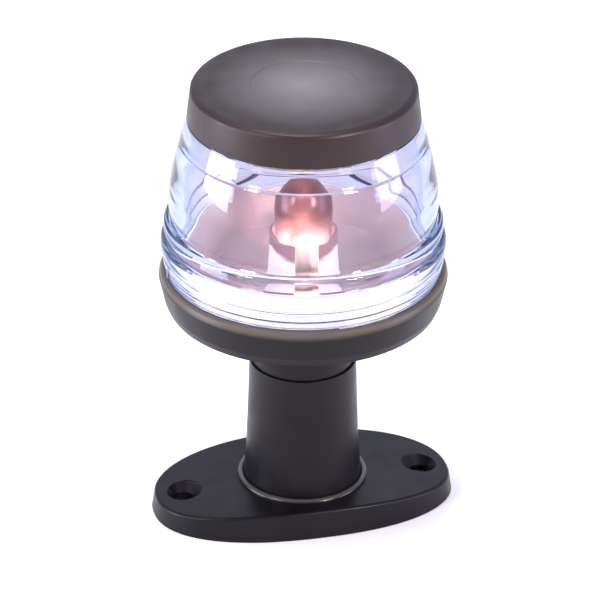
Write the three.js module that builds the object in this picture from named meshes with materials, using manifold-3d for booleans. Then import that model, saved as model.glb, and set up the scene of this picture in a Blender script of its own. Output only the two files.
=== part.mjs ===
// All-round navigation light on a short pedestal: an oval base with a hollow column, a head with a
// clear screw-off lens and a capped top, and a bayonet bulb in a sprung lampholder inside.
// Millimetres, +Z up. The origin is the middle of the base's underside, +X along the oval.
import * as THREE from "three";
import { mergeVertices } from "three/addons/utils/BufferGeometryUtils.js";
import Module from "manifold-3d";

const wasm = await Module();
wasm.setup();

// ---- Driving dimensions -------------------------------------------------------------------
const GAP = 0.3; // clearance between neighbouring pieces
const PLATE = { halfX: 40, halfY: 22, power: 2.3, height: 7.8, drop: 1.8, dropAt: 32, draft: 0.7 };
const FIXING = { x: 32, r: 2.7, headR: 4.85, sinkZ: 3.85 }; // the two deck screws
const COLUMN = { footR: 15.3, topR: 13.9, topZ: 42.4, socketR: 11.6, webZ: 21.5, webTop: 24, cableR: 9 };
const SPIGOT = { r: COLUMN.socketR - GAP, bottomZ: 26, boreR: 8.9 };
const NECK = { r: 13.3, boreR: 10.9, boreZ: 44.8, screwZ: 33, sealZ: 38 };
const CUP = { floorZ: 62, lipZ: 69.7, wallR: 34.6, ridgeR: 37.2, ridgeZ: 67.8, footR: 35.2, footZ: 60 };
const LENS = { footZ: CUP.lipZ + GAP, spigotZ: 65.5, spigotIn: 31.9, shoulderZ: 111.7, topZ: 117 };
const THREAD = { starts: 3, turnDeg: 75, rise: 5, lugDeg: 12, lugZ: 65.6, lugHeight: 1.7, rootR: 35.6 };
const CAP = { skirtR: 29.8, topR: 28.8, bottomZ: 112, topZ: 121, wallR: 27.3, underZ: 118.3 };
const BULB = { pinZ: 57.5, capR: 7.5, capTop: 66.5, glassR: 7.5, topZ: 94, filamentZ: 74.8 };
const SHELL = { inR: 7.9, outR: 9, footR: 8.5, stepZ: 46.2, bottomZ: 42.9, rimZ: 78.8 };
const HOLDER = { plateZ: CUP.floorZ + GAP, strapZ: CUP.floorZ + 2.6, strapTop: CUP.floorZ + 3.4, screwX: 19 };
const TRAY = { inR: 9.4, outR: 30.2, wallR: 29, rimZ: 78 };
const CONTACTS = { discZ: SHELL.bottomZ + 0.8, springZ: 45.2, plungerZ: 48.2, buttonZ: 50.8, stemZ: 38.5 };
const PIN_DEG = -25; // how far the locked pins are turned from the front and back
const BULB_TURN_DEG = 18; // turn from locked to the open slot
const BULB_TRAVEL = 1.2; // push against the contact spring
const ROUND = 40; // sides of a large round piece
const SMALL_ROUND = 20; // sides of a small round piece

// ---- Materials ----------------------------------------------------------------------------
const finish = (color, roughness, metalness = 0, opacity = 1) =>
  new THREE.MeshStandardMaterial({ color, roughness, metalness, opacity, transparent: opacity < 1 });
const blackPlastic = () => finish(0x17161a, 0.45);
const clearPlastic = () => finish(0xe6eaff, 0.05, 0, 0.3);
const whitePlastic = () => finish(0xece9e2, 0.5);
const brownPhenolic = () => finish(0x5a3a26, 0.55);
const rubber = () => finish(0x1b1b1d, 0.85);
const nickel = () => finish(0xc9c6bf, 0.25, 1);
const brass = () => finish(0xc79a4a, 0.3, 1);
const steel = () => finish(0xb9bcc0, 0.3, 1);
const blownGlass = () => finish(0xf6e2de, 0.2, 0, 0.3);
const tungsten = () => finish(0xffe3b0, 0.5, 1);

// ---- Solids -------------------------------------------------------------------------------
const radians = THREE.MathUtils.degToRad;

// A geometry's positions, merged, as a solid that can be joined and cut.
function solid(geometry) {
  const bare = geometry.clone();
  bare.deleteAttribute("normal");
  bare.deleteAttribute("uv");
  const merged = mergeVertices(bare, 1e-4);
  const vertProperties = Float32Array.from(merged.attributes.position.array);
  const triVerts = Uint32Array.from(merged.index.array);
  return new wasm.Manifold(new wasm.Mesh({ numProp: 3, vertProperties, triVerts }));
}

// A named mesh from a solid.
function piece(name, shape, material) {
  const mesh = shape.getMesh();
  const geometry = new THREE.BufferGeometry();
  geometry.setAttribute("position", new THREE.BufferAttribute(Float32Array.from(mesh.vertProperties), 3));
  geometry.setIndex(new THREE.BufferAttribute(Uint32Array.from(mesh.triVerts), 1));
  geometry.computeVertexNormals();
  const made = new THREE.Mesh(geometry, material);
  made.name = name;
  return made;
}

// A solid of revolution about Z from [radius, height] points that run up its outside.
function turned(points, sides = ROUND) {
  const profile = points.map(([r, z]) => new THREE.Vector2(r, z));
  return solid(new THREE.LatheGeometry(profile, sides).rotateX(Math.PI / 2));
}

// The same for a ring, whose profile closes on itself.
const ring = (points, sides = ROUND) => turned([...points, points[0]], sides);

// A plain ring or, with no inner radius, a plain disc.
function collar(inR, outR, lowZ, highZ, sides = ROUND) {
  const outside = [[outR, lowZ], [outR, highZ]];
  if (inR === 0) return turned([[0, lowZ], ...outside, [0, highZ]], sides);
  return ring([[inR, lowZ], ...outside, [inR, highZ]], sides);
}

const disc = (r, lowZ, highZ, sides = SMALL_ROUND) => collar(0, r, lowZ, highZ, sides);

// A box from its low corner to its high corner.
function block([x0, y0, z0], [x1, y1, z1]) {
  const geometry = new THREE.BoxGeometry(x1 - x0, y1 - y0, z1 - z0);
  return solid(geometry.translate((x0 + x1) / 2, (y0 + y1) / 2, (z0 + z1) / 2));
}

// A round bar of radius r along a direction, from one distance to another from the Z axis.
function spoke(r, from, to, z, angleDeg, sides = 16) {
  const bar = new THREE.CylinderGeometry(r, r, to - from, sides).rotateZ(-Math.PI / 2);
  bar.translate((from + to) / 2, 0, z);
  return solid(bar.rotateZ(radians(angleDeg)));
}

// A closed skin over rings of points, which all have the same number of points.
function loft(rings) {
  const count = rings[0].length;
  const positions = [];
  const middle = (points) =>
    points.reduce((sum, p) => sum.add(p), new THREE.Vector3()).divideScalar(points.length);
  const push = (...corners) => corners.forEach((p) => positions.push(p.x, p.y, p.z));
  rings.slice(1).forEach((upper, i) => {
    const lower = rings[i];
    for (let j = 0; j < count; j++) {
      const k = (j + 1) % count;
      push(lower[j], lower[k], upper[k]);
      push(lower[j], upper[k], upper[j]);
    }
  });
  const [first, last] = [rings[0], rings.at(-1)];
  const [start, end] = [middle(first), middle(last)];
  for (let j = 0; j < count; j++) {
    const k = (j + 1) % count;
    push(start, first[k], first[j]);
    push(end, last[j], last[k]);
  }
  const geometry = new THREE.BufferGeometry();
  geometry.setAttribute("position", new THREE.Float32BufferAttribute(positions, 3));
  return solid(geometry);
}

// A bar that climbs round the Z axis as it turns, like a stretch of screw thread.
function helicalBar(inR, outR, height, fromDeg, toDeg, lowZ, steps) {
  const rings = [];
  for (let i = 0; i <= steps; i++) {
    const turn = fromDeg + ((toDeg - fromDeg) * i) / steps;
    const z = lowZ + (THREAD.rise * turn) / THREAD.turnDeg;
    const corner = (r, dz) =>
      new THREE.Vector3(r, 0, z + dz).applyAxisAngle(new THREE.Vector3(0, 0, 1), radians(turn));
    rings.push([corner(inR, 0), corner(inR, height), corner(outR, height), corner(outR, 0)]);
  }
  return loft(rings);
}

const turnedBy = (shape, angleDeg) => shape.rotate([0, 0, angleDeg]);
const joined = (shapes) => shapes.reduce((whole, shape) => whole.add(shape));

// A wire of radius r along a curve.
function wire(curve, r, steps, sides = 6) {
  const section = new THREE.Shape();
  for (let i = 0; i < sides; i++) {
    const angle = (2 * Math.PI * i) / sides;
    const [x, y] = [r * Math.cos(angle), r * Math.sin(angle)];
    if (i === 0) section.moveTo(x, y);
    else section.lineTo(x, y);
  }
  return solid(new THREE.ExtrudeGeometry(section, { steps, extrudePath: curve, bevelEnabled: false }));
}

// ---- Base ---------------------------------------------------------------------------------
// The plate's top falls away towards the two ends.
const crownZ = (x) => PLATE.height - PLATE.drop * (x / PLATE.dropAt) ** 2;

// An oval between an ellipse and a rectangle, set in by a distance from the plate's outline.
function oval(inset, height, scale = 1, points = 44) {
  const [a, b] = [(PLATE.halfX - inset) * scale, (PLATE.halfY - inset) * scale];
  return Array.from({ length: points }, (_, i) => {
    const angle = (2 * Math.PI * i) / points;
    const [c, s] = [Math.cos(angle), Math.sin(angle)];
    const x = a * Math.sign(c) * Math.abs(c) ** (2 / PLATE.power);
    const y = b * Math.sign(s) * Math.abs(s) ** (2 / PLATE.power);
    return new THREE.Vector3(x, y, height(x));
  });
}

// A crowned oval block; lower cuts its top down by a distance.
function crownedOval(inset, bottomZ, lower) {
  const top = (x) => crownZ(x) - lower;
  const rings = [oval(inset, () => bottomZ), oval(inset + PLATE.draft, (x) => top(x) - 0.8)];
  for (const scale of [1, 0.7, 0.4]) rings.push(oval(inset + PLATE.draft + 0.5, top, scale));
  return loft(rings);
}

// Hollows under the plate, between ribs, so that its walls are all about as thick.
function plateHollows() {
  const wall = 2.4;
  const rib = 1.5;
  let hollows = crownedOval(wall, -1, wall);
  hollows = hollows.subtract(disc(12.6, -2, 9, ROUND));
  for (const side of [-1, 1]) {
    hollows = hollows.subtract(disc(FIXING.headR + 1.6, -2, 9).translate([side * FIXING.x, 0, 0]));
    hollows = hollows.subtract(block([side * 20 - rib / 2, -22, -2], [side * 20 + rib / 2, 22, 9]));
    hollows = hollows.subtract(block([-40, side * 9.5 - rib / 2, -2], [40, side * 9.5 + rib / 2, 9]));
  }
  hollows = hollows.subtract(block([-40, -2, -2], [40, 2, 9]));
  return hollows.subtract(block([-rib / 2, -22, -2], [rib / 2, 22, 9]));
}

function pedestal() {
  const { footR, topR, topZ, socketR, webZ, webTop, cableR } = COLUMN;
  const column = turned([
    [0, 0], [16.4, 0], [16.9, 7.1], [16.9, 7.4], [16.1, 7.8], [15.5, 8.6], [footR, 10],
    [14.6, 20], [topR, topZ - 0.5], [topR - 0.5, topZ], [0, topZ],
  ]);
  let body = crownedOval(0, 0, 0).add(column).subtract(plateHollows());
  body = body.subtract(disc(socketR, webTop, topZ + 1, ROUND)).subtract(disc(cableR, -1, webZ, ROUND));
  body = body.subtract(disc(5, webZ - 1, webTop + 1));
  const { x, r, headR, sinkZ } = FIXING;
  const seatZ = sinkZ + headR - r;
  const countersink = [[r, sinkZ], [headR, seatZ], [headR, 12], [0, 12]];
  const screwHole = turned([[0, -1], [r, -1], ...countersink], SMALL_ROUND);
  for (const side of [-1, 1]) body = body.subtract(screwHole.translate([side * x, 0, 0]));
  const grubHole = spoke(1.9, 10, 16, NECK.screwZ, 90).add(spoke(3, 12.9, 16, NECK.screwZ, 90));
  return piece("pedestal", body.subtract(grubHole), blackPlastic());
}

function cableGrommet() {
  const { webZ, webTop } = COLUMN;
  const grommet = ring([
    [2.2, webZ - 2], [6.4, webZ - 2], [7, webZ - 1.6], [7, webZ - GAP], [4.7, webZ - GAP],
    [4.7, webTop + GAP], [7, webTop + GAP], [7, webTop + 1.2], [6.4, webTop + 1.6], [2.2, webTop + 1.6],
  ], SMALL_ROUND);
  return piece("cable_grommet", grommet, rubber());
}

// The O-ring that keeps water out of the joint between head and column.
function neckSeal() {
  const z = NECK.sealZ;
  const seal = ring([
    [10.2, z - 0.4], [10.7, z - 0.8], [11.3, z - 0.4], [11.3, z + 0.4], [10.7, z + 0.8], [10.2, z + 0.4],
  ], SMALL_ROUND);
  return piece("neck_seal", seal, rubber());
}

function retainingScrew() {
  const shank = spoke(1.4, 9.9, 13.4, NECK.screwZ, 90);
  const head = spoke(2.6, 13.2, 14, NECK.screwZ, 90);
  return piece("retaining_screw", shank.add(head), steel());
}

// ---- Head ---------------------------------------------------------------------------------
// Screw-thread grooves in the cup's wall, which let the lens out as it turns anticlockwise.
function threadGrooves() {
  const { starts, turnDeg, lugDeg, lugZ, lugHeight, rootR } = THREAD;
  const end = lugDeg / 2 + 1.5; // a little room past the lug at both ends of its turn
  const groove = helicalBar(34, rootR, lugHeight + 2 * GAP, -end, turnDeg + end, lugZ - GAP, 14);
  return joined(Array.from({ length: starts }, (_, i) => turnedBy(groove, (360 / starts) * i)));
}

function headBody() {
  const { r, bottomZ, boreR } = SPIGOT;
  const { floorZ, lipZ, wallR, ridgeR, ridgeZ, footR, footZ } = CUP;
  const seam = COLUMN.topZ + GAP;
  let body = ring([
    [boreR, bottomZ], [r - 0.4, bottomZ], [r, bottomZ + 0.5], [r, NECK.sealZ - 1.1],
    [9.9, NECK.sealZ - 1.1], [9.9, NECK.sealZ + 1.1], [r, NECK.sealZ + 1.1],
    [r, seam], [NECK.r - 0.4, seam], [NECK.r, seam + 0.4], [NECK.r, 50.5],
    [13.7, 52.2], [14.6, 53.4], [16, 54], [33.8, 59], [footR, footZ], [36.4, 64], [ridgeR, ridgeZ],
    [36.9, 68.6], [36.1, lipZ], [wallR, lipZ], [wallR, floorZ], [28.6, floorZ], [28, 60.2],
    [14, 57.4], [NECK.boreR, 57.4], [NECK.boreR, NECK.boreZ], [boreR, 43.4],
  ]);
  for (const side of [-1, 1]) {
    const boss = disc(3.4, 56.5, floorZ).translate([side * HOLDER.screwX, 0, 0]);
    const pilot = disc(1.7, 57.6, floorZ + 1).translate([side * HOLDER.screwX, 0, 0]);
    body = body.add(boss).subtract(pilot);
  }
  const grubHole = spoke(1.7, 9.4, 12, NECK.screwZ, 90);
  return piece("head_body", body.subtract(threadGrooves()).subtract(grubHole), blackPlastic());
}

// ---- Lampholder ---------------------------------------------------------------------------
// A white tray that throws the light up and hides the cup behind the lens.
function holderPlate() {
  const [low, high] = [HOLDER.plateZ, HOLDER.strapZ - GAP];
  const { inR, outR, wallR, rimZ } = TRAY;
  let plate = ring([[inR, low], [outR, low], [outR, rimZ], [wallR, rimZ], [wallR, high], [inR, high]]);
  for (const side of [-1, 1]) {
    plate = plate.subtract(disc(1.8, low - 1, high + 1).translate([side * HOLDER.screwX, 0, 0]));
  }
  return piece("holder_plate", plate, whitePlastic());
}

// The two J-shaped slots let the pins down, then round to where they lock. Each is wider above the
// level of the bulb's cap, so that the filament can be seen through it.
function pinSlots() {
  const half = 1.3;
  const wideHalf = 3;
  const halfDeg = 9.2;
  const top = SHELL.rimZ + 1;
  const narrow = block([-half, -10, BULB.pinZ - 2.6], [half, 0, top]);
  const entry = narrow.add(block([-wideHalf, -10, 63], [wideHalf, 0, top]));
  const slots = [];
  for (const lockedDeg of [0, 180]) {
    const run = levelRun(7, 10, lockedDeg - 90 - halfDeg, lockedDeg - 90 + BULB_TURN_DEG);
    slots.push(turnedBy(entry, lockedDeg + BULB_TURN_DEG), run);
  }
  return turnedBy(joined(slots), PIN_DEG);
}

// The level run of a pin slot, which is tall enough for a pin both up and pushed down.
function levelRun(inR, outR, fromDeg, toDeg) {
  const [low, high] = [BULB.pinZ - BULB_TRAVEL - 1.4, BULB.pinZ + 1.4];
  const rings = [];
  const steps = 4;
  for (let i = 0; i <= steps; i++) {
    const turn = radians(fromDeg + ((toDeg - fromDeg) * i) / steps);
    const corner = (r, z) => new THREE.Vector3(r * Math.cos(turn), r * Math.sin(turn), z);
    rings.push([corner(inR, low), corner(inR, high), corner(outR, high), corner(outR, low)]);
  }
  return loft(rings);
}

function lampholderShell() {
  const { inR, outR, footR, stepZ, bottomZ, rimZ } = SHELL;
  const shell = ring([
    [6.4, bottomZ], [footR, bottomZ], [footR, stepZ], [outR, stepZ + 0.5], [outR, rimZ - 0.3],
    [outR - 0.3, rimZ], [inR + 0.3, rimZ], [inR, rimZ - 0.3], [inR, bottomZ + 0.5], [6.4, bottomZ + 0.5],
  ], SMALL_ROUND);
  return piece("lampholder_shell", shell.subtract(pinSlots()), whitePlastic());
}

function holderBracket() {
  const [low, high] = [HOLDER.strapZ, HOLDER.strapTop];
  let bracket = disc(12.5, low, high).add(block([-22.5, -4, low], [22.5, 4, high]));
  bracket = bracket.add(block([-3, 0, low], [3, 18, high])).subtract(disc(9.3, low - 1, high + 1));
  for (const side of [-1, 1]) {
    bracket = bracket.subtract(disc(1.8, low - 1, high + 1, 16).translate([side * HOLDER.screwX, 0, 0]));
  }
  return piece("holder_bracket", bracket, nickel());
}

function holderScrew(name, x) {
  const seat = HOLDER.strapTop + GAP;
  const screw = turned([
    [0, 58], [1.4, 58.4], [1.4, seat], [3, seat], [3, seat + 0.7], [2.5, seat + 1.4], [1.2, seat + 1.8],
    [0, seat + 1.8],
  ], 16);
  const slot = block([-4, -0.35, seat + 1], [4, 0.35, seat + 3]);
  return piece(name, screw.subtract(turnedBy(slot, 35)).translate([x, 0, 0]), steel());
}

// The blade that the earth lead pushes on to, riveted to the bracket's tongue.
function negativeTerminal() {
  const low = HOLDER.strapTop + GAP;
  const foot = block([-2.4, 13, low], [2.4, 17.6, low + 0.8]);
  const blade = block([-2.4, 16.8, low], [2.4, 17.6, 71.5]);
  return piece("negative_terminal", foot.add(blade), brass());
}

function holderBaseDisc() {
  const { discZ } = CONTACTS;
  return piece("holder_base_disc", collar(1.9, 7.6, discZ, discZ + 1.2, SMALL_ROUND), brownPhenolic());
}

// A coil under the plunger, which keeps the contacts together and the pins in their slots.
function contactSpring() {
  const [r, wireR, turns] = [4.6, 0.25, 2];
  const [low, high] = [CONTACTS.springZ + wireR, CONTACTS.plungerZ - GAP - wireR];
  const coil = new THREE.Curve();
  coil.getPoint = (t, target = new THREE.Vector3()) => {
    const angle = 2 * Math.PI * turns * t;
    return target.set(r * Math.cos(angle), r * Math.sin(angle), low + (high - low) * t);
  };
  return piece("contact_spring", wire(coil, wireR, turns * 16), steel());
}

function contactPlunger() {
  const { plungerZ } = CONTACTS;
  return piece("contact_plunger", collar(1.9, 7.5, plungerZ, plungerZ + 1.6, SMALL_ROUND), brownPhenolic());
}

// The button that feeds the bulb, with a stem down through the plunger to its solder cup.
function centreContact() {
  const { stemZ, buttonZ } = CONTACTS;
  const contact = turned([
    [0, stemZ], [2.1, stemZ], [2.1, stemZ + 3.4], [1.5, stemZ + 3.6], [1.5, buttonZ - 0.7],
    [2.6, buttonZ - 0.7], [2.6, buttonZ - 0.3], [1.8, buttonZ], [0, buttonZ],
  ], SMALL_ROUND);
  const cup = disc(1.4, stemZ - 1, stemZ + 2);
  return piece("centre_contact", contact.subtract(cup), brass());
}

// ---- Bulb ---------------------------------------------------------------------------------
const bulbBaseZ = BULB.pinZ - 6.4; // the bottom of the contact in the cap's end

function bulbCap() {
  const z = bulbBaseZ;
  const { capR, capTop, pinZ } = BULB;
  let cap = ring([
    [6.3, z + 1.5], [7.1, z + 1.7], [capR, z + 2.2], [capR, capTop - 0.3], [capR - 0.2, capTop],
    [7.1, capTop - 0.2], [7.1, z + 2.6], [6.3, z + 2.1],
  ], SMALL_ROUND);
  for (const side of [-90, 90]) cap = cap.add(spoke(1, 7.3, 8.75, pinZ, PIN_DEG + side, 12));
  return piece("bulb_cap", cap, brass());
}

function bulbInsulator() {
  const z = bulbBaseZ;
  const bead = ring([[2.7, z + 0.6], [4.2, z + 0.8], [6, z + 1.6], [6, z + 3], [2.7, z + 3]], SMALL_ROUND);
  return piece("bulb_insulator", bead, finish(0x101014, 0.2));
}

function bulbContact() {
  const z = bulbBaseZ;
  const dot = turned([
    [0, z], [1.3, z + 0.1], [2.1, z + 0.5], [2.4, z + 1.2], [2.4, z + 2], [0, z + 2],
  ], SMALL_ROUND);
  return piece("bulb_contact", dot, finish(0xb4b6ba, 0.35, 1));
}

// The glass, one wall thick: a straight tube with a domed end. Its open foot is cemented into the cap.
function bulbGlass() {
  const outline = (inset) => {
    const r = BULB.glassR - inset;
    const crown = BULB.topZ - BULB.glassR;
    const dome = Array.from({ length: 7 }, (_, i) => {
      const angle = radians(15 * i);
      return [i === 6 ? 0 : r * Math.cos(angle), crown + r * Math.sin(angle)];
    });
    return [[6.7 - inset, 63], [6.7 - inset, 66.2], [6.85 - inset, 67.2], [r, 69.2], ...dome];
  };
  const shape = turned([...outline(0), ...outline(0.6).reverse(), [6.7, 63]], SMALL_ROUND);
  return piece("bulb_glass", shape, blownGlass());
}

function bulbStem() {
  const stem = turned([
    [0, 62], [5.6, 62], [5.2, 64], [2.6, 68], [1.9, 71.4], [1.4, 72], [0, 72],
  ], SMALL_ROUND);
  return piece("bulb_stem", stem, blownGlass());
}

function filamentPost(name, side) {
  const points = [[1.1, 72.3], [1.2, 72.9], [1.9, 73.5], [2.1, BULB.filamentZ - 0.8]];
  const path = new THREE.CatmullRomCurve3(points.map(([x, z]) => new THREE.Vector3(side * x, 0, z)));
  return piece(name, wire(path, 0.25, 8), nickel());
}

function filament() {
  const { filamentZ: z } = BULB;
  const ends = [[-2.4, z], [-1.2, z + 0.2], [0, z + 0.3], [1.2, z + 0.2], [2.4, z]];
  const path = new THREE.CatmullRomCurve3(ends.map(([x, height]) => new THREE.Vector3(x, 0, height)));
  return piece("filament", wire(path, 0.45, 10), tungsten());
}

// ---- Lens and cap -------------------------------------------------------------------------
function lens() {
  const { footZ, spigotZ, spigotIn, shoulderZ, topZ } = LENS;
  const spigotR = CUP.wallR - GAP;
  let body = ring([
    [spigotIn, spigotZ], [spigotR, spigotZ], [spigotR, footZ], [35.7, footZ], [36.3, 74.4], [36, 75],
    [36.6, 76.2], [36.7, 77.3], [36.2, 78.6], [35, 79.5], [35.7, 81], [35.9, 82.6], [35.6, 83.6],
    [34.2, 84.4], [34.4, 87], [34.5, 90.2], [34.4, 93.2], [33.8, 96.6], [33, 100.1], [32.1, 103.5],
    [31.2, 105.6], [31.4, 106.3], [29.7, shoulderZ], [27, shoulderZ], [27, topZ], [24.5, topZ],
    [24.5, 113.2], [27.2, 109.2], [28.6, 104.6], [29.9, 100], [30.7, 95.5], [31.1, 92], [30.8, 84.5],
    [spigotIn, 74],
  ]);
  const { starts, lugDeg, lugZ, lugHeight, rootR } = THREAD;
  const lug = helicalBar(spigotR - 0.5, rootR - GAP, lugHeight, -lugDeg / 2, lugDeg / 2, lugZ, 2);
  for (let i = 0; i < starts; i++) body = body.add(turnedBy(lug, (360 / starts) * i));
  const mark = block([35.2, -0.5, 71], [36.6, 0.5, 73.6]); // shows which way the lens is closed
  return piece("lens", body.add(turnedBy(mark, 184)), clearPlastic());
}

function lensSeal() {
  const [inR, outR] = [LENS.spigotIn, CUP.wallR - GAP];
  const low = CUP.floorZ + GAP;
  const high = LENS.spigotZ - GAP;
  const seal = ring([
    [inR, low], [outR, low], [outR, high - 0.6], [(inR + outR) / 2, high], [inR, high - 0.6],
  ]);
  return piece("lens_seal", seal, rubber());
}

function cap() {
  const { skirtR, topR, bottomZ, topZ, wallR, underZ } = CAP;
  const shape = turned([
    [wallR, bottomZ], [skirtR, bottomZ], [topR, topZ - 1.3], [topR - 0.4, topZ - 0.5],
    [topR - 1.4, topZ - 0.1], [27, topZ], [13.6, topZ], [13.3, topZ - 0.15], [0, topZ - 0.15],
    [0, underZ], [wallR, underZ], [wallR, bottomZ],
  ]);
  return piece("cap", shape, blackPlastic());
}

function capSeal() {
  const seal = collar(24.8, 26.8, LENS.topZ + GAP, CAP.underZ - GAP, SMALL_ROUND);
  return piece("cap_seal", seal, rubber());
}

// ---- Assembly -----------------------------------------------------------------------------
const base = new THREE.Group();
base.add(pedestal(), cableGrommet(), retainingScrew());

const head = new THREE.Group();
head.add(headBody(), neckSeal());

const lampholder = new THREE.Group();
lampholder.add(holderPlate(), holderBracket(), lampholderShell(), holderBaseDisc(), negativeTerminal());
lampholder.add(holderScrew("holder_screw_left", -HOLDER.screwX));
lampholder.add(holderScrew("holder_screw_right", HOLDER.screwX));
lampholder.add(contactSpring(), contactPlunger(), centreContact());

const bulb = new THREE.Group();
bulb.add(bulbCap(), bulbInsulator(), bulbContact(), bulbGlass(), bulbStem(), filament());
bulb.add(filamentPost("filament_post_left", -1), filamentPost("filament_post_right", 1));

const lensUnit = new THREE.Group();
lensUnit.add(lens(), lensSeal(), cap(), capSeal());

const navigationLight = new THREE.Group();
navigationLight.add(base, head, lampholder, bulb, lensUnit);
export default navigationLight;
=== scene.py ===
"""Looks of the navigation light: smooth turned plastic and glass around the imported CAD, in metres, +Z up."""
from math import acos, atan2, cos, degrees, pi, radians, sin, tan

import bmesh
import bpy
from mathutils import Euler, Matrix, Vector


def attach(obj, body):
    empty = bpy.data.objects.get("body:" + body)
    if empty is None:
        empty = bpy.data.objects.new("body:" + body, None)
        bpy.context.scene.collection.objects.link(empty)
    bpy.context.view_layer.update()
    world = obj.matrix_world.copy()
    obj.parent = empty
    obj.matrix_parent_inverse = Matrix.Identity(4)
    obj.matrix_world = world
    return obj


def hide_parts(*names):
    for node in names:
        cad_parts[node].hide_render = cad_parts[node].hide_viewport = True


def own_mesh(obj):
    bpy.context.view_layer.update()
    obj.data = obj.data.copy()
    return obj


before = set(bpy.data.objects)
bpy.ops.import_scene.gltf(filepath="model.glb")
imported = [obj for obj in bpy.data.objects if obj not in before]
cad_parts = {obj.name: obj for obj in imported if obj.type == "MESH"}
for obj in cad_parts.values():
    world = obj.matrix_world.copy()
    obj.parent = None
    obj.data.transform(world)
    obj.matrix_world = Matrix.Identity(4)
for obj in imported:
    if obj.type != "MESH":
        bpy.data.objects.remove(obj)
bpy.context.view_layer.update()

MM = 0.001
ROUND = 192  # sides of a large turned piece
SMALL_ROUND = 96  # sides of a small one
SHARP = radians(28)  # faces that meet at more than this keep a crisp edge

# Driving dimensions, in millimetres, as in the CAD. The bead at the column's foot, the rings inside
# the lens foot and the narrow seam under the neck are finer than the CAD and only shown here.
PLATE = dict(half_x=40, half_y=22, power=2.3, height=7.8, drop=1.8, drop_at=32)
FIXING = dict(x=32, r=2.7, head_r=4.85, sink_z=3.85)
COLUMN = dict(foot_r=15.35, top_r=13.9, top_z=42.4, socket_r=11.6, screw_z=33)
BEAD = dict(in_r=15.2, out_r=17, top_z=8.6)
BULB = dict(pin_z=57.5, push=1.2, cap_r=7.5, cap_z=66.5, tube_r=7.5, top_z=94, filament_z=74.8)
SHELL = dict(in_r=7.9, out_r=9.0, rim_z=78.8, bottom_z=42.9, foot_r=8.5, step_z=46.2)
HOLDER_TURN = -25  # degrees that the whole lampholder and bulb are turned about Z
TRAY = dict(out_r=30.2, in_r=29, rim_z=78, floor_z=64.3)
HOLDER_SCREW_X = 19
CUP = dict(neck_z=42.48, neck_r=13.3, floor_z=62, lip_z=69.7, wall_r=34.6, spigot_r=11.3)
LENS_FOOT = dict(in_r=31.9, out_r=34.3, low_z=65.5, rings_z=(75.2, 73.4, 71.6, 69.8))
SPRING = dict(r=4.6, wire_r=0.25, turns=2, low_z=45.45, high_z=47.65)
BULB_TURN = 18  # degrees from where a pin locks to its open slot
THREAD = dict(starts=3, turn=75, rise=5, lug=12, lug_z=65.6, lug_height=1.7, root_r=35.6)


# ---- Mesh tools ---------------------------------------------------------------------------
def add_object(name, mesh):
    obj = bpy.data.objects.new(name, mesh)
    bpy.context.scene.collection.objects.link(obj)
    return obj


def finish_mesh(bm, name, sharp=SHARP):
    """Turns a bmesh in millimetres into an object in metres, smooth but for its crisp edges."""
    bmesh.ops.remove_doubles(bm, verts=bm.verts, dist=1e-4)
    bmesh.ops.recalc_face_normals(bm, faces=bm.faces)
    bm.transform(Matrix.Scale(MM, 4))
    mesh = bpy.data.meshes.new(name)
    for face in bm.faces:
        face.smooth = True
    for edge in bm.edges:
        edge.smooth = len(edge.link_faces) == 2 and edge.calc_face_angle(0) < sharp
    bm.to_mesh(mesh)
    bm.free()
    return add_object(name, mesh)


def rounded(corners, closed=False):
    """A profile with its corners rounded. Each corner is (r, z) or (r, z, radius)."""
    count = len(corners)
    points = []
    for i, corner in enumerate(corners):
        here = Vector(corner[:2])
        radius = corner[2] if len(corner) > 2 else 0
        if radius == 0 or (not closed and i in (0, count - 1)):
            points.append(here)
            continue
        before = (Vector(corners[i - 1][:2]) - here).normalized()
        after = (Vector(corners[(i + 1) % count][:2]) - here).normalized()
        half = acos(max(-1, min(1, before.dot(after)))) / 2
        if half > radians(88.5):
            points.append(here)
            continue
        centre = here + (before + after).normalized() * radius / sin(half)
        start = here + before * radius / tan(half) - centre
        end = here + after * radius / tan(half) - centre
        sweep = atan2(start.cross(end), start.dot(end))
        steps = max(3, round(abs(degrees(sweep)) / 9))
        for k in range(steps + 1):
            points.append(centre + Matrix.Rotation(sweep * k / steps, 2) @ start)
    return points


def spline(knots, steps=8):
    """A smooth curve through the knots, without its last point."""
    points = [Vector(k) for k in knots]
    ends = [2 * points[0] - points[1]] + points + [2 * points[-1] - points[-2]]
    curve = []
    for p0, p1, p2, p3 in zip(ends, ends[1:], ends[2:], ends[3:]):
        for k in range(steps):
            t = k / steps
            curve.append(0.5 * (2 * p1 + (p2 - p0) * t + (2 * p0 - 5 * p1 + 4 * p2 - p3) * t**2
                                + (3 * p1 - p0 - 3 * p2 + p3) * t**3))
    return curve


def lathe(bm, profile, sides=ROUND, closed=True):
    """Turns a profile of (r, z) points about Z. A closed profile joins its last point to its first."""
    rings = []
    for point in profile:
        r, z = point[0], point[1]
        if r < 1e-6:
            rings.append([bm.verts.new((0, 0, z))])
            continue
        rings.append([bm.verts.new((r * cos(2 * pi * k / sides), r * sin(2 * pi * k / sides), z))
                      for k in range(sides)])
    pairs = list(zip(rings, rings[1:]))
    if closed:
        pairs.append((rings[-1], rings[0]))
    for low, high in pairs:
        if len(low) == 1 and len(high) == 1:
            continue
        for k in range(sides):
            j = (k + 1) % sides
            ring = [low[k % len(low)], low[j % len(low)], high[j % len(high)], high[k % len(high)]]
            corners = list(dict.fromkeys(ring))
            bm.faces.new(corners)


def turned(name, profile, sides=ROUND, closed=True):
    bm = bmesh.new()
    lathe(bm, profile, sides, closed)
    return finish_mesh(bm, name)


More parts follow.
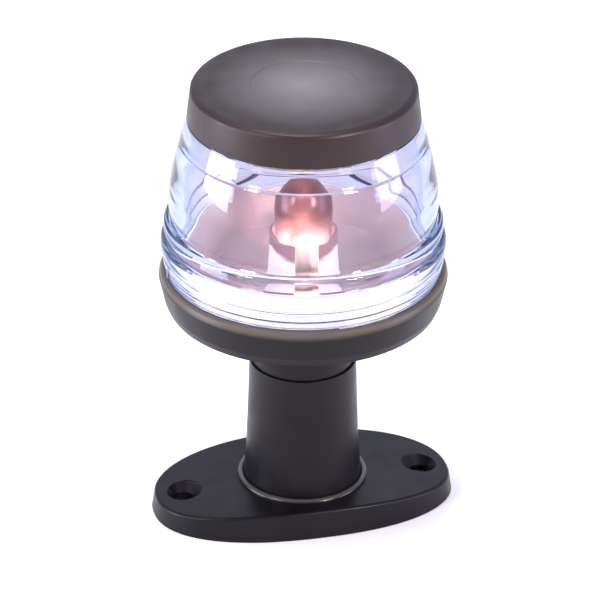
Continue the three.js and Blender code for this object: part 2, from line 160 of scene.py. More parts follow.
def skin(bm, rings):
    """A closed skin over rings of points with the same number of points each."""
    loops = [[bm.verts.new(p) for p in ring] for ring in rings]
    for low, high in zip(loops, loops[1:]):
        for k in range(len(low)):
            j = (k + 1) % len(low)
            bm.faces.new((low[k], low[j], high[j], high[k]))
    bm.faces.new(loops[0])
    bm.faces.new(loops[-1])


def boolean(obj, tools, operation):
    """Joins the tools to obj, or cuts them from it, and removes them."""
    bpy.context.view_layer.objects.active = obj
    for tool in tools:
        modifier = obj.modifiers.new("cut", "BOOLEAN")
        modifier.operation = operation
        modifier.solver = "EXACT"
        modifier.object = tool
        bpy.ops.object.modifier_apply(modifier=modifier.name)
        bpy.data.objects.remove(tool)
    crisp(obj)


def crisp(obj, sharp=SHARP):
    """Marks crisp edges again after a cut, and lets large faces set the shading."""
    bm = bmesh.new()
    bm.from_mesh(obj.data)
    for face in bm.faces:
        face.smooth = True
    for edge in bm.edges:
        edge.smooth = len(edge.link_faces) == 2 and edge.calc_face_angle(0) < sharp
    bm.to_mesh(obj.data)
    bm.free()


def weight_normals(obj):
    modifier = obj.modifiers.new("shading", "WEIGHTED_NORMAL")
    modifier.keep_sharp = True


def bar(r, start, end, sides=48):
    """A round bar between two points, in millimetres."""
    start, end = Vector(start), Vector(end)
    bm = bmesh.new()
    bmesh.ops.create_cone(bm, cap_ends=True, segments=sides, radius1=r, radius2=r,
                          depth=(end - start).length)
    turn = (end - start).to_track_quat("Z", "Y").to_matrix().to_4x4()
    bm.transform(Matrix.Translation((start + end) / 2) @ turn)
    return finish_mesh(bm, "tool")


def block(low, high, turn_deg=0):
    """A box between two corners, in millimetres, turned about Z."""
    low, high = Vector(low), Vector(high)
    bm = bmesh.new()
    bmesh.ops.create_cube(bm, size=1)
    bm.transform(Matrix.Rotation(radians(turn_deg), 4, "Z") @ Matrix.Translation((low + high) / 2)
                 @ Matrix.Diagonal((*(high - low), 1)))
    return finish_mesh(bm, "tool")


def helical_bar(in_r, out_r, height, from_deg, to_deg, low_z, start_deg, steps=24, climb=True):
    """A bar that goes round Z, climbing as the lens thread does."""
    rings = []
    for k in range(steps + 1):
        turn = from_deg + (to_deg - from_deg) * k / steps
        z = low_z + (THREAD["rise"] * turn / THREAD["turn"] if climb else 0)
        angle = radians(turn + start_deg)
        rings.append([(r * cos(angle), r * sin(angle), z + up)
                      for r, up in ((in_r, 0), (in_r, height), (out_r, height), (out_r, 0))])
    bm = bmesh.new()
    skin(bm, rings)
    return finish_mesh(bm, "tool")


# ---- Materials ----------------------------------------------------------------------------
class Nodes:
    """A material's node tree, with a few calls that keep it short to write."""

    def __init__(self, name):
        self.material = bpy.data.materials.new(name)
        self.material.use_nodes = True
        self.tree = self.material.node_tree
        self.shader = self.tree.nodes["Principled BSDF"]
        self.coords = self.add("ShaderNodeTexCoord").outputs["Object"]

    def add(self, kind, inputs=None, **settings):
        node = self.tree.nodes.new(kind)
        for key, value in settings.items():
            setattr(node, key, value)
        for key, value in (inputs or {}).items():
            self.put(node.inputs[key], value)
        return node

    def put(self, socket, value):
        if isinstance(value, bpy.types.NodeSocket):
            self.tree.links.new(value, socket)
        else:
            socket.default_value = value

    def noise(self, scale, detail=3, roughness=0.5):
        inputs = {"Vector": self.coords, "Scale": scale, "Detail": detail, "Roughness": roughness}
        return self.add("ShaderNodeTexNoise", inputs).outputs["Fac"]

    def ramp(self, value, low, high, start=0.0, end=1.0):
        node = self.add("ShaderNodeMapRange", {"Value": value, "From Min": start, "From Max": end,
                                               "To Min": low, "To Max": high})
        return node.outputs["Result"]

    def mix(self, factor, first, second):
        node = self.add("ShaderNodeMix", data_type="RGBA")
        self.put(node.inputs["Factor"], factor)
        self.put(node.inputs["A"], first)
        self.put(node.inputs["B"], second)
        return node.outputs["Result"]

    def bump(self, height, distance, strength=1.0):
        inputs = {"Height": height, "Distance": distance, "Strength": strength}
        return self.add("ShaderNodeBump", inputs).outputs["Normal"]

    def set(self, **sockets):
        for key, value in sockets.items():
            self.put(self.shader.inputs[key.replace("_", " ")], value)
        return self


def rgba(r, g, b):
    return (r, g, b, 1)


def moulded(name, dark, light, roughness, grain_scale, grain_depth, specular=0.5, sheen=(1, 1, 1)):
    """Moulded plastic: a fine spark-eroded grain, slight colour drift and uneven gloss."""
    n = Nodes(name)
    drift = n.noise(45, 4)
    grain = n.noise(grain_scale, 2, 0.6)
    colour = n.mix(n.ramp(drift, 0, 1, 0.3, 0.7), rgba(*dark), rgba(*light))
    patches = n.ramp(n.noise(160, 5), roughness - 0.05, roughness + 0.07, 0.3, 0.7)
    n.set(Base_Color=colour, Roughness=patches, Specular_IOR_Level=specular, Specular_Tint=rgba(*sheen),
          Normal=n.bump(grain, grain_depth, 0.5))
    return n.material


def painted_light_two_tone(name, first, second, start, end, radial=False, roughness=0.4, specular=0.5, grain=0.00004,
             glow=(0, 0), sheen=(1, 1, 1)):
    """Moulded plastic whose colour changes between two levels, in metres, of height or of distance from Z.

    glow is painted light that it gives at the first and the second colour, as if lit from inside.
    """
    n = Nodes(name)
    place = n.add("ShaderNodeSeparateXYZ", {"Vector": n.coords}).outputs
    if radial:
        flat = n.add("ShaderNodeCombineXYZ", {"X": place["X"], "Y": place["Y"]}).outputs["Vector"]
        level = n.add("ShaderNodeVectorMath", {0: flat}, operation="LENGTH").outputs["Value"]
    else:
        level = place["Z"]
    # The change between the two colours is painted light: it paints a highlight on some parts and shade on
    # others.
    factor = n.ramp(level, 0, 1, start, end)
    drift = n.ramp(n.noise(90, 4), 0.95, 1.04, 0.3, 0.7)
    tint = n.add("ShaderNodeVectorMath", {0: n.mix(factor, rgba(*first), rgba(*second)), "Scale": drift},
                 operation="SCALE").outputs["Vector"]
    patches = n.ramp(n.noise(160, 5), roughness - 0.05, roughness + 0.07, 0.3, 0.7)
    n.set(Base_Color=tint, Roughness=patches, Specular_IOR_Level=specular, Specular_Tint=rgba(*sheen),
          Normal=n.bump(n.noise(2600, 2, 0.6), grain, 0.5))
    if any(glow):
        n.set(Emission_Color=rgba(1, 0.96, 0.92), Emission_Strength=n.ramp(factor, *glow))
    return n.material


def metal(name, dark, light, roughness, scratch=700, depth=0.00002):
    """Metal with faint drawn marks round it and tarnish in patches."""
    n = Nodes(name)
    tarnish = n.noise(220, 5, 0.6)
    squeezed = n.add("ShaderNodeVectorMath", {0: n.coords, 1: (0.15, 0.15, 3)}, operation="MULTIPLY")
    marks = n.add("ShaderNodeTexNoise", {"Vector": squeezed.outputs["Vector"], "Scale": scratch,
                                         "Detail": 3}).outputs["Fac"]
    n.set(Base_Color=n.mix(n.ramp(tarnish, 0, 1, 0.4, 0.75), rgba(*light), rgba(*dark)), Metallic=1.0,
          Roughness=n.ramp(marks, roughness - 0.05, roughness + 0.1, 0.3, 0.7),
          Normal=n.bump(marks, depth, 0.6))
    return n.material


def clear(name, tint, ior, roughness=0.0, shadow=(0.9, 0.9, 0.95), ripple=0.0, depth=None, crown=None,
          edge=None):
    """Clear glass or plastic that lets lamps through, dimmed by the colour in shadow.

    depth (r, g, b, density) tints what is thick, crown (r, g, b, low, high) what is above a height in
    metres, and edge (r, g, b) what is seen at a slant.
    """
    n = Nodes(name)
    tint = rgba(*tint)
    if crown:
        height = n.add("ShaderNodeSeparateXYZ", {"Vector": n.coords}).outputs["Z"]
        tint = n.mix(n.ramp(height, 0, 1, crown[3], crown[4]), tint, rgba(*crown[:3]))
    if edge:
        facing = n.add("ShaderNodeLayerWeight", {"Blend": 0.5}).outputs["Facing"]
        tint = n.mix(n.ramp(facing, 0, 1, 0.35, 0.85), tint, rgba(*edge))
    n.set(Base_Color=tint, Roughness=roughness, IOR=ior, Transmission_Weight=1.0)
    if ripple:
        n.set(Normal=n.bump(n.noise(60, 2), ripple, 1.0))
    if depth:
        deep = n.add("ShaderNodeVolumeAbsorption", {"Color": rgba(*depth[:3]), "Density": depth[3]})
        n.tree.links.new(deep.outputs["Volume"], n.tree.nodes["Material Output"].inputs["Volume"])
    path = n.add("ShaderNodeLightPath").outputs["Is Shadow Ray"]
    passed = n.add("ShaderNodeBsdfTransparent", {"Color": rgba(*shadow)}).outputs["BSDF"]
    mixed = n.add("ShaderNodeMixShader", {0: path, 1: n.shader.outputs["BSDF"], 2: passed})
    n.tree.links.new(mixed.outputs[0], n.tree.nodes["Material Output"].inputs["Surface"])
    return n.material


def glowing(name, colour, strength):
    """A hot, bright surface."""
    n = Nodes(name)
    n.set(Base_Color=rgba(*colour), Emission_Color=rgba(*colour), Emission_Strength=strength,
          Roughness=n.ramp(n.noise(4000), 0.4, 0.6))
    return n.material


MATERIALS = {
    "black": moulded("black_abs", (0.004, 0.0035, 0.005), (0.007, 0.006, 0.008), 0.33, 2600, 0.00006, 0.19,
                     (1, 0.93, 1)),
    # The cup's lip, above 67.4 mm, is painted a light warm brown: a painted highlight.
    "cup": painted_light_two_tone("black_abs_cup_painted_lip_highlight", (0.005, 0.0045, 0.006), (0.088, 0.074, 0.060), 0.0674, 0.0687,
                    roughness=0.33, specular=0.2, grain=0.00006, sheen=(1, 0.93, 1)),
    # The bead's top, above 8.2 mm, is painted a light warm grey: a painted highlight.
    "bead": painted_light_two_tone("bead_painted_highlight", (0.006, 0.005, 0.006), (0.050, 0.046, 0.040), 0.0082, 0.0085,
                     roughness=0.22, specular=0.6),
    # The cap's top is painted light grey at its middle, fading by 24 mm from Z to a near-black, faintly red
    # edge and skirt: a painted highlight.
    "cap": painted_light_two_tone("black_abs_cap_painted_highlight", (0.150, 0.145, 0.150), (0.009, 0.0035, 0.0045), 0.0, 0.024, True, 0.42,
                    0.48, 0.00007, sheen=(1, 0.85, 0.84)),
    # The lampholder is white below 75.4 mm and glows there, painted light from the filament; above 76 mm it is
    # painted dark mauve, painted shade.
    "holder": painted_light_two_tone("holder_painted_glow_and_shade", (0.88, 0.87, 0.84), (0.36, 0.20, 0.21), 0.0754, 0.0760,
                       glow=(0.35, 0)),
    # The tray is darker and pinker inside 29.4 mm from Z; beyond 29.7 mm it is pale and glows, painted light.
    "tray": painted_light_two_tone("tray_plastic", (0.56, 0.47, 0.47), (0.90, 0.88, 0.87), 0.0294, 0.0297, True,
                     glow=(0, 0.3)),
    "rubber": moulded("rubber", (0.013, 0.013, 0.013), (0.02, 0.02, 0.02), 0.75, 1500, 0.0001, 0.3),
    "phenolic": moulded("phenolic", (0.12, 0.05, 0.025), (0.19, 0.09, 0.04), 0.5, 1800, 0.00006),
    "nickel": metal("nickel_plate", (0.55, 0.50, 0.45), (0.80, 0.76, 0.71), 0.12),
    "brass": metal("brass", (0.50, 0.33, 0.12), (0.80, 0.58, 0.27), 0.22),
    "steel": metal("stainless", (0.26, 0.26, 0.27), (0.42, 0.42, 0.43), 0.3),
    "solder": metal("solder", (0.40, 0.40, 0.42), (0.62, 0.62, 0.64), 0.35),
    "black_glass": moulded("black_glass", (0.01, 0.01, 0.014), (0.02, 0.02, 0.03), 0.12, 900, 0.00002),
    # Seen at a slant the lens is tinted blue-grey: partly the longer path through its wall, partly painted
    # shade at its sides.
    "lens": clear("clear_polycarbonate", (0.83, 0.77, 0.81), 1.5, 0.0, (0.84, 0.83, 0.86), 0.00002,
                  depth=(0.36, 0.58, 0.92, 65), edge=(0.50, 0.66, 0.90)),
    "glass": clear("bulb_glass", (1.0, 0.97, 0.96), 1.45, 0.0, (0.96, 0.96, 0.96)),
    # Above 79 mm the globe is tinted dark reddish brown as painted shade.
    "globe": clear("frosted_globe", (0.92, 0.83, 0.81), 1.45, 0.22, (0.94, 0.84, 0.82),
                   crown=(0.40, 0.22, 0.20, 0.079, 0.086)),
    "filament": glowing("lit_filament", (1.0, 0.80, 0.76), 1200),
}


def dress(obj, key):
    """Gives obj one material, on the object itself so that CAD meshes stay as they are."""
    if not obj.material_slots:
        obj.data.materials.append(None)
    for slot in obj.material_slots:
        slot.link = "OBJECT"
        slot.material = MATERIALS[key]
    return obj


def fit(obj, key, body, slot, *nodes):
    """Finishes a new piece: its material, the body that it rides and what it stands for; slot is not used."""
    dress(obj, key)
    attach(obj, body)
    if nodes:
        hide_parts(*nodes)
    return obj


# ---- Pieces: base and head ----------------------------------------------------------------
def crown_z(x):
    """The height of the plate's top, which falls towards its ends."""
    return PLATE["height"] - PLATE["drop"] * (x / PLATE["drop_at"]) ** 2


def oval(inset, height, scale=1.0, points=160):
    """A ring of points on the plate's outline, moved inwards and scaled, at height(x)."""
    a, b = (PLATE["half_x"] - inset) * scale, (PLATE["half_y"] - inset) * scale
    ring = []
    for k in range(points):
        c, s = cos(2 * pi * k / points), sin(2 * pi * k / points)
        x = a * (1 if c > 0 else -1) * abs(c) ** (2 / PLATE["power"])
        y = b * (1 if s > 0 else -1) * abs(s) ** (2 / PLATE["power"])
        ring.append((x, y, height(x)))
    return ring


def plate_body():
    """The solid oval plate, with a soft moulded edge."""
    edge = 0.9
    rings = [oval(0.25, lambda x: 0), oval(0, lambda x: 0.25)]
    rings += [oval(0.10 + 0.5 * t, lambda x, t=t: 0.6 + (crown_z(x) - edge - 0.6) * t) for t in (0.3, 0.6, 1)]
    for k in range(1, 7):
        angle = pi / 2 * k / 6
        rings.append(oval(0.6 + edge * (1 - cos(angle)),
                          lambda x, lift=sin(angle): crown_z(x) - edge * (1 - lift)))
    rings += [oval(0.6 + edge, crown_z, s) for s in (0.93, 0.85, 0.75, 0.65, 0.55, 0.45, 0.3, 0.15)]
    bm = bmesh.new()
    skin(bm, rings)
    return finish_mesh(bm, "pedestal_body")


def fixing_holes():
    """The two countersunk holes for the deck screws, as tools."""
    r, head_r, sink_z = FIXING["r"], FIXING["head_r"], FIXING["sink_z"]
    outline = rounded([(0, -1), (r, -1), (r, sink_z, 0.3), (head_r, sink_z + head_r - r, 0.4),
                       (head_r + 0.12, 12), (0, 12)])
    holes = []
    for side in (-1, 1):
        hole = turned("tool", outline, SMALL_ROUND, closed=False)
        hole.data.transform(Matrix.Translation((side * FIXING["x"] * MM, 0, 0)))
        holes.append(hole)
    return holes


def pedestal():
    """The oval plate and hollow column, one moulding."""
    plate = plate_body()
    foot_r, top_r, top_z, socket_r = (COLUMN[key] for key in ("foot_r", "top_r", "top_z", "socket_r"))
    column = rounded([(0, 1), (foot_r, 1), (foot_r - 0.05, 8.45), (foot_r - 0.15, 10.5, 30), (14.6, 20, 60),
                      (top_r, top_z, 0.2), (socket_r, top_z, 0.1), (socket_r, 38)])
    outside = turned("tool", [*column, (0, 38)], closed=False)
    boolean(plate, [outside], "UNION")
    socket = turned("tool", [(0, 24), (socket_r, 24), (socket_r, 45), (0, 45)], closed=False)
    bore = turned("tool", [(0, -1), (9, -1), (9, 21.5), (0, 21.5)], closed=False)
    web = turned("tool", [(0, 20), (5, 20), (5, 26), (0, 26)], SMALL_ROUND, closed=False)
    cuts = [socket, bore, web, *fixing_holes()]
    screw_z = COLUMN["screw_z"]
    cuts.append(bar(1.9, (0, 10, screw_z), (0, 16, screw_z)))
    cuts.append(bar(3, (0, 12.9, screw_z), (0, 16, screw_z)))
    cuts.append(plate_hollows())
    boolean(plate, cuts, "DIFFERENCE")
    weight_normals(plate)
    return fit(plate, "black", "base", "black_plastic", "pedestal")


def foot_bead():
    """The small raised bead round the column's foot."""
    in_r, out_r, top = BEAD["in_r"], BEAD["out_r"], BEAD["top_z"]
    profile = rounded([(in_r, 7), (out_r, 7), (out_r, top - 0.5, 0.5), (out_r - 0.5, top, 0.3),
                       (in_r + 0.7, top, 0.4), (in_r, top - 0.4)], closed=True)
    return fit(turned("foot_bead", profile), "bead", "base", "black_plastic", "pedestal")


def plate_hollows():
    """The ribbed hollows under the plate, as one tool."""
    wall, rib = 2.4, 0.75
    bm = bmesh.new()
    skin(bm, [oval(wall, lambda x: -1), oval(wall + 0.7, lambda x: crown_z(x) - wall)])
    hollows = finish_mesh(bm, "tool")
    hub = turned("tool", [(0, -2), (12.6, -2), (12.6, 9), (0, 9)], closed=False)
    walls = [hub, block((-41, -2, -2), (41, 2, 9)), block((-rib, -23, -2), (rib, 23, 9))]
    for side in (-1, 1):
        boss = turned("tool", [(0, -2), (6.45, -2), (6.45, 9), (0, 9)], SMALL_ROUND, closed=False)
        boss.data.transform(Matrix.Translation((side * FIXING["x"] * MM, 0, 0)))
        walls.append(boss)
        walls.append(block((side * 20 - rib, -23, -2), (side * 20 + rib, 23, 9)))
        walls.append(block((-41, side * 9.5 - rib, -2), (41, side * 9.5 + rib, 9)))
    boolean(hollows, walls, "DIFFERENCE")
    return hollows


def holder_screw_bars(r, low_z, high_z):
    """The tools that cut the two holder screws' holes."""
    return [bar(r, (x, 0, low_z), (x, 0, high_z)) for x in (-HOLDER_SCREW_X, HOLDER_SCREW_X)]


def head():
    """The cup, neck and spigot, one moulding."""
    neck_z, neck_r, spigot_r = CUP["neck_z"], CUP["neck_r"], CUP["spigot_r"]
    floor_z, lip_z, wall_r = CUP["floor_z"], CUP["lip_z"], CUP["wall_r"]
    spigot = [(8.9, 26, 0.2), (spigot_r, 26, 0.4), (spigot_r, 36.9), (9.9, 36.9, 0.2), (9.9, 39.1, 0.2),
              (spigot_r, 39.1), (spigot_r, neck_z)]
    outside = [(neck_r, neck_z, 0.12), (neck_r, 51.5, 2.6), (34.9, 59.2, 0.8), (35.9, 61.5, 3),
               (37.25, 67.7, 0.9), (36.7, lip_z - 0.4, 0.5), (36.1, lip_z, 0.2)]
    inside = [(wall_r, lip_z, 0.2), (wall_r, floor_z, 0.3), (28.6, floor_z, 0.2), (28, 60.2, 0.4),
              (14, 57.4, 1), (10.9, 57.4, 0.3), (10.9, 44.8, 0.4), (8.9, 43.4, 0.4)]
    profile = rounded(spigot + outside + inside, closed=True)
    cup = turned("head_cup", profile)
    grooves = []
    for k in range(THREAD["starts"]):
        reach = THREAD["lug"] / 2 + 1.5
        grooves.append(helical_bar(34, THREAD["root_r"], THREAD["lug_height"] + 0.6, -reach,
                                   THREAD["turn"] + reach, THREAD["lug_z"] - 0.3, 120 * k))
    boolean(cup, grooves, "DIFFERENCE")
    boolean(cup, [bar(1.7, (0, 9.4, COLUMN["screw_z"]), (0, 12, COLUMN["screw_z"]))], "DIFFERENCE")
    bosses = []
    for side in (-1, 1):
        outline = [(0, 56.5), (3.4, 56.5), (3.4, floor_z), (0, floor_z)]
        boss = turned("tool", outline, SMALL_ROUND, closed=False)
        boss.data.transform(Matrix.Translation((side * HOLDER_SCREW_X * MM, 0, 0)))
        bosses.append(boss)
    boolean(cup, bosses, "UNION")
    boolean(cup, holder_screw_bars(1.7, 57.6, 63), "DIFFERENCE")
    weight_normals(cup)
    return fit(cup, "cup", "base", "black_plastic", "head_body")


# ---- Pieces: lens and cap -----------------------------------------------------------------
def lens():
    """The clear lens: a tall belt above narrow ones, and a foot, ringed inside, that screws into the cup."""
    belt_1 = spline([(34.25, 84.6), (34.42, 87), (34.5, 90.2), (34.2, 94.2), (33.4, 98.3), (32.55, 101.8),
                     (31.95, 103.9), (31.35, 105.5)])
    belt_2 = spline([(35.05, 79.6), (35.55, 80.6), (35.9, 82.0), (35.8, 83.2), (35.2, 84.0),
                     (34.3, 84.35)], 6)
    belt_3 = spline([(36.05, 75.1), (36.45, 75.8), (36.7, 77.0), (36.55, 78.3), (35.9, 79.1),
                     (35.15, 79.45)], 6)
    in_r, out_r, low_z = LENS_FOOT["in_r"], LENS_FOOT["out_r"], LENS_FOOT["low_z"]
    foot = rounded([(out_r, low_z), (out_r, 70), (35.7, 70, 0.3), (36.3, 74.3, 0.5), (36.05, 75.0)])
    outside = [*foot[1:], *belt_3, *belt_2, *belt_1,
               *rounded([(31.25, 105.6), (31.5, 106.3, 0.25), (29.7, 111.7, 0.2), (27, 111.7)])]
    inside = rounded([(27, 111.7), (27, 117, 0.3), (24.5, 117, 0.3), (24.5, 113.4, 2), (27.0, 109.4, 4)])[1:]
    inside += spline([(27.2, 109.0), (28.6, 104.6), (29.9, 100), (30.7, 95.5), (31.1, 91.9)])
    inside += rounded([(31.1, 91.5), (30.8, 84.5, 0.6), (in_r, 77, 1)])
    for z in LENS_FOOT["rings_z"]:
        inside += rounded([(in_r, z + 0.85), (in_r, z + 0.7, 0.2), (in_r + 0.8, z, 0.3),
                           (in_r, z - 0.7, 0.2)])
    inside.append((in_r, low_z))
    body = turned("lens_body", [(out_r, low_z), *outside, *inside])
    lugs = []
    for k in range(THREAD["starts"]):
        half = THREAD["lug"] / 2
        lugs.append(helical_bar(33.8, THREAD["root_r"] - 0.3, THREAD["lug_height"], -half, half,
                                THREAD["lug_z"], 120 * k, 6))
    lugs.append(block((35.2, -0.45, 71.2), (36.35, 0.45, 73.6), 184))
    boolean(body, lugs, "UNION")
    return fit(body, "lens", "lens_unit", "clear_lens", "lens")


def cap():
    """The black cap, with a very shallow disc in its top."""
    profile = rounded([
        (0, 118.3), (27.3, 118.3, 0.3), (27.3, 112, 0.2), (29.75, 112, 0.25), (28.85, 119.9, 1.0),
        (28.35, 120.6, 0.8), (27.2, 121.0, 1.5), (13.75, 121.0, 0.12), (13.55, 120.86, 0.12), (0, 120.86),
    ])
    return fit(turned("lens_cap", profile, closed=False), "cap", "lens_unit", "black_plastic", "cap")


# ---- Pieces: lampholder and bulb ----------------------------------------------------------
def shell():
    """The white lampholder, slotted at front and back for the bulb's pins."""
    in_r, out_r, rim, bottom = SHELL["in_r"], SHELL["out_r"], SHELL["rim_z"], SHELL["bottom_z"]
    foot_r, step_z = SHELL["foot_r"], SHELL["step_z"]
    profile = rounded([
        (6.4, bottom), (foot_r, bottom, 0.2), (foot_r, step_z, 0.2), (out_r, step_z + 0.5, 0.2),
        (out_r, rim, 0.35), (in_r + 0.3, rim, 0.2), (in_r, rim - 0.4, 0.2), (in_r, bottom + 0.5, 0.2),
        (6.4, bottom + 0.5),
    ], closed=True)
    body = turned("lampholder_tube", profile, SMALL_ROUND)
    half, half_deg, travel = 1.3, 9.2, BULB["push"]
    wide, funnel_z = 3, 63
    cuts = []
    for locked in (HOLDER_TURN, HOLDER_TURN + 180):
        open_deg = locked + BULB_TURN
        cuts.append(block((-half, -10, BULB["pin_z"] - 2.6), (half, 0, rim + 1), open_deg))
        cuts.append(block((-wide, -10, funnel_z), (wide, 0, rim + 1), open_deg))
        cuts.append(helical_bar(7, 10, travel + 2.8, -half_deg, BULB_TURN, BULB["pin_z"] - travel - 1.4,
                                locked - 90, 8, climb=False))
    boolean(body, cuts, "DIFFERENCE")
    return fit(body, "holder", "base", "white_plastic", "lampholder_shell")


def tray():
    """The white tray that carries the lampholder and lines the cup."""
    out_r, in_r, rim, floor = TRAY["out_r"], TRAY["in_r"], TRAY["rim_z"], TRAY["floor_z"]
    profile = rounded([(9.4, 62.3), (out_r, 62.3, 0.3), (out_r, rim, 0.5), (in_r, rim, 0.5),
                       (in_r, floor, 0.8), (9.4, floor, 0.3)], closed=True)
    body = turned("holder_tray", profile)
    boolean(body, holder_screw_bars(1.8, 61, 66), "DIFFERENCE")
    return fit(body, "tray", "base", "white_plastic", "holder_plate")


def bulb_metal():
    """The bulb's bayonet cap with its two pins."""
    z, top = BULB["pin_z"] - 6.4, BULB["cap_z"]
    r = BULB["cap_r"]
    profile = rounded([
        (6.3, z + 1.5), (r - 0.4, z + 1.7, 0.5), (r, z + 2.4, 0.5), (r, top - 1.6, 0.3),
        (r - 0.15, top - 1.2, 0.3), (r, top - 0.8, 0.3), (r, top, 0.2), (r - 0.3, top, 0.1),
        (r - 0.4, z + 2.6, 0.2), (6.3, z + 2.1),
    ], closed=True)
    body = turned("bulb_base", profile, SMALL_ROUND)
    pins = []
    for side in (-90, 90):
        angle = radians(side + HOLDER_TURN)
        pins.append(bar(1, (7.2 * cos(angle), 7.2 * sin(angle), BULB["pin_z"]),
                        (8.75 * cos(angle), 8.75 * sin(angle), BULB["pin_z"])))
    boolean(body, pins, "UNION")
    return fit(body, "nickel", "bulb", "nickel_plate", "bulb_cap")


def globe():
    """The bulb's glass: a straight tube with a domed end."""
    def outline(inset):
        r = BULB["tube_r"] - inset
        crown = BULB["top_z"] - BULB["tube_r"]
        angles = [pi / 2 * k / 24 for k in range(24)]
        dome = [(r * cos(a), crown + r * sin(a)) for a in angles]
        neck = spline([(6.7 - inset, 66.2), (6.85 - inset, 67.2), (r, 69.2), (r, 72)], 6)
        return [(6.7 - inset, 63), *neck, *dome, (0, crown + r)]

    body = turned("bulb_globe", [*outline(0), *reversed(outline(0.6))], SMALL_ROUND)
    return fit(body, "globe", "bulb", "bulb_glass", "bulb_glass")


def stem():
    """The glass foot inside the bulb, which holds the filament's posts."""
    profile = rounded([(0, 62), (5.6, 62, 0.6), (5.2, 64, 1), (2.6, 68, 1.5), (1.9, 71.4, 1), (1.4, 72, 0.5),
                       (0, 72)])
    body = turned("bulb_stem_glass", profile, SMALL_ROUND, closed=False)
    return fit(body, "glass", "bulb", "bulb_glass", "bulb_stem")


def coil_wire(name, point_at, radius, steps, sides=10):
    """A wire along a curve given by a function of 0 to 1."""
    bm = bmesh.new()
    rings = []
    for k in range(steps + 1):
        t = k / steps
        here = Vector(point_at(t))
        ahead = (Vector(point_at(min(1, t + 1e-3))) - Vector(point_at(max(0, t - 1e-3)))).normalized()
        side = ahead.orthogonal() if k == 0 else (side - ahead * side.dot(ahead))
        side.normalize()
        up = ahead.cross(side)
        rings.append([here + (side * cos(2 * pi * j / sides) + up * sin(2 * pi * j / sides)) * radius
                      for j in range(sides)])
    skin(bm, rings)
    return finish_mesh(bm, name)


def filament():
    """The bulb's coiled filament, bowed up a little between its posts."""
    z, turns, coil_r, half = BULB["filament_z"], 14, 0.5, 2.2

    def point_at(t):
        angle = 2 * pi * turns * t
        x = half * (2 * t - 1)
        lift = 0.5 * (1 - (2 * t - 1) ** 2)
        return (x, coil_r * cos(angle), z + lift + coil_r * sin(angle))

    body = coil_wire("filament_coil", point_at, 0.15, turns * 14, 8)
    return fit(body, "filament", "bulb", "tungsten", "filament")


def spring():
    """The plunger's spring, which shortens as the bulb is pushed down."""
    low, high, wire_r, turns = SPRING["low_z"], SPRING["high_z"], SPRING["wire_r"], SPRING["turns"]

    def point_at(t):
        angle = 2 * pi * turns * t
        return (SPRING["r"] * cos(angle), SPRING["r"] * sin(angle), low + (high - low) * t)

    body = coil_wire("plunger_spring", point_at, wire_r, turns * 40)
    fit(body, "steel", "base", "stainless", "contact_spring")
    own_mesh(body)


# ---- Stage, camera and lamps --------------------------------------------------------------
def camera():
    """The camera looks down at the light from a little to the left of its front."""
    azimuth, pitch, roll = radians(-13.3), radians(28.837), radians(0.262)
    distance, height, aside = 1.0346, 0.6287, -0.0008
    ahead = Vector((-sin(azimuth), cos(azimuth), 0))
    right = Vector((cos(azimuth), sin(azimuth), 0))
    data = bpy.data.cameras.new("camera")
    data.sensor_width = 36
    data.lens = 274.45
    data.clip_end = 20
    made = bpy.data.objects.new("camera", data)
    turn = Euler((pi / 2 - pitch, 0, azimuth)).to_matrix() @ Matrix.Rotation(roll, 3, "Z")
    place = right * aside - ahead * distance + Vector((0, 0, height))
    made.matrix_world = Matrix.Translation(place) @ turn.to_4x4()
    bpy.context.scene.collection.objects.link(made)
    bpy.context.scene.camera = made


def lamp(name, place, size, power, colour=(1, 1, 1), target=(0, 0, 0.07)):
    data = bpy.data.lights.new(name, "AREA")
    data.shape = "RECTANGLE"
    data.size, data.size_y = size
    data.energy = power
    data.color = colour
    made = bpy.data.objects.new(name, data)
    place, target = Vector(place), Vector(target)
    made.location = place
    made.rotation_euler = (target - place).to_track_quat("-Z", "Y").to_euler()
    bpy.context.scene.collection.objects.link(made)


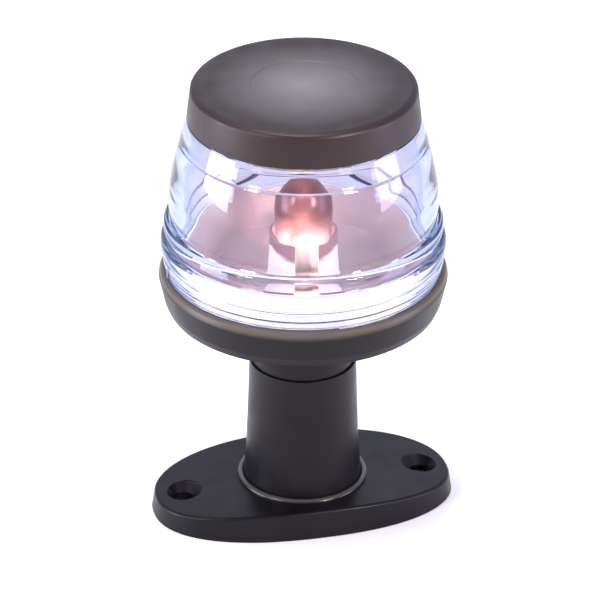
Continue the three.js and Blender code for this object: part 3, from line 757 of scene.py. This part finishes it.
def stage():
    """A wide pale floor under a faintly blue, even sky."""
    bm = bmesh.new()
    bmesh.ops.create_grid(bm, x_segments=1, y_segments=1, size=6000)
    floor = finish_mesh(bm, "floor")
    n = Nodes("floor_paper")
    n.set(Base_Color=n.mix(n.noise(3), rgba(0.86, 0.86, 0.86), rgba(0.88, 0.88, 0.88)), Roughness=0.9)
    floor.data.materials.append(n.material)
    world = bpy.data.worlds.new("world")
    world.use_nodes = True
    world.node_tree.nodes["Background"].inputs["Color"].default_value = rgba(0.72, 0.78, 1.0)
    world.node_tree.nodes["Background"].inputs["Strength"].default_value = 0.9
    bpy.context.scene.world = world
    bpy.context.scene.view_settings.view_transform = "Standard"


def lamps():
    """Low boxes at both sides, weak ones behind and above, and two small ones in front."""
    lamp("left_box", (-0.85, 0.05, 0.12), (0.45, 0.4), 8.5, (0.80, 0.84, 1.0))
    lamp("right_box", (0.80, -0.35, 0.10), (0.4, 0.4), 4.5, (0.74, 0.68, 1.0))
    lamp("back_box", (0.1, 1.0, 0.62), (0.9, 0.5), 0.8, (1, 0.92, 0.90))
    lamp("top_box", (-0.1, 0.1, 1.1), (0.35, 0.35), 7, (1.0, 0.93, 0.86))
    lamp("front_left_box", (-0.85, -0.45, 0.62), (0.22, 0.22), 5, (1, 0.88, 0.76))
    lamp("front_right_box", (0.50, -0.85, 0.62), (0.22, 0.22), 9, (1, 0.88, 0.78))


# ---- Assembly -----------------------------------------------------------------------------
camera()
stage()
lamps()
pedestal()
foot_bead()
head()
lens()
cap()
shell()
tray()
bulb_metal()
globe()
stem()
filament()
spring()

# CAD nodes that are shown as they are, each with its material.
CARRIED = {
    "cable_grommet": "rubber", "retaining_screw": "steel", "neck_seal": "rubber",
    "holder_bracket": "nickel", "holder_base_disc": "phenolic", "negative_terminal": "brass",
    "holder_screw_left": "steel", "holder_screw_right": "steel", "contact_plunger": "phenolic",
    "centre_contact": "brass", "bulb_insulator": "black_glass", "bulb_contact": "solder",
    "filament_post_left": "nickel", "filament_post_right": "nickel", "lens_seal": "rubber",
    "cap_seal": "rubber",
}
for node, key in CARRIED.items():
    dress(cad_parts[node], key)
